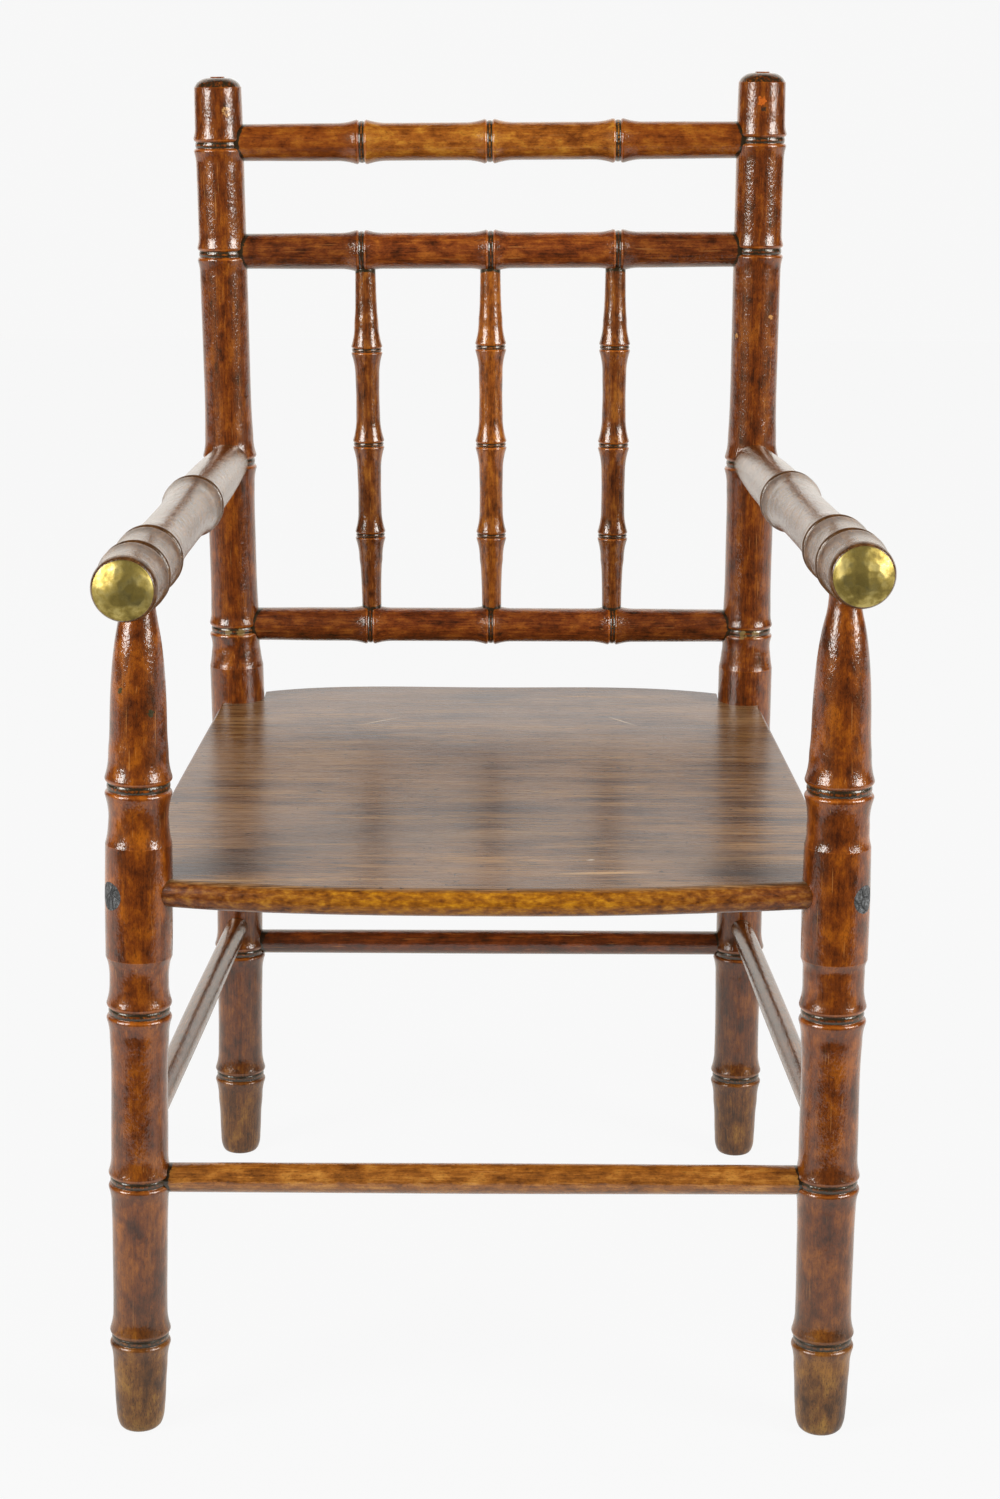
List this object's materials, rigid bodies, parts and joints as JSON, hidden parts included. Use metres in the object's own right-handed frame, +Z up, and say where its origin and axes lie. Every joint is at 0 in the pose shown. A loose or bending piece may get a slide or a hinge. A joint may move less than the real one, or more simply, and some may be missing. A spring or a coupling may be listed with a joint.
{
  "type": "child armchair",
  "caption": "Small turned wooden armchair for a child, with ringed legs and rails, a flat two-board seat, a spindle back and brass-capped arms.",
  "frame": {"origin": "on the floor, under the middle of the chair's box", "axes": "+X towards the right as seen from the front, +Y towards the back, +Z up; the front faces -Y"},
  "size_m": [0.3548, 0.3985, 0.618],
  "materials": {
    "leg_wood": "glossy amber varnish, worn",
    "post_wood": "glossy red-brown varnish",
    "rail_wood": "glossy brown varnish",
    "seat_wood": "satin varnish, worn grey-brown",
    "stretcher_wood": "satin brown varnish",
    "arm_wood": "worn satin varnish",
    "cap_brass": "hammered, tarnished",
    "fixing_steel": "plain",
    "plug_wood": "dark, cut end grain"
  },
  "bodies": {
    "root": {"left_front_leg": "leg_wood", "right_front_leg": "leg_wood", "left_rear_post": "post_wood", "right_rear_post": "post_wood", "crest_rail": "rail_wood", "middle_rail": "rail_wood", "lower_rail": "rail_wood", "left_spindle": "rail_wood", "middle_spindle": "rail_wood", "right_spindle": "rail_wood", "seat_front_board": "seat_wood", "seat_rear_board": "seat_wood", "front_stretcher": "stretcher_wood", "rear_stretcher": "stretcher_wood", "left_stretcher": "stretcher_wood", "right_stretcher": "stretcher_wood", "left_arm": "arm_wood", "right_arm": "arm_wood", "left_arm_cap": "cap_brass", "right_arm_cap": "cap_brass", "cap_nails": "fixing_steel", "seat_screws": "fixing_steel", "screw_plugs": "plug_wood"}
  },
  "joints": []
}
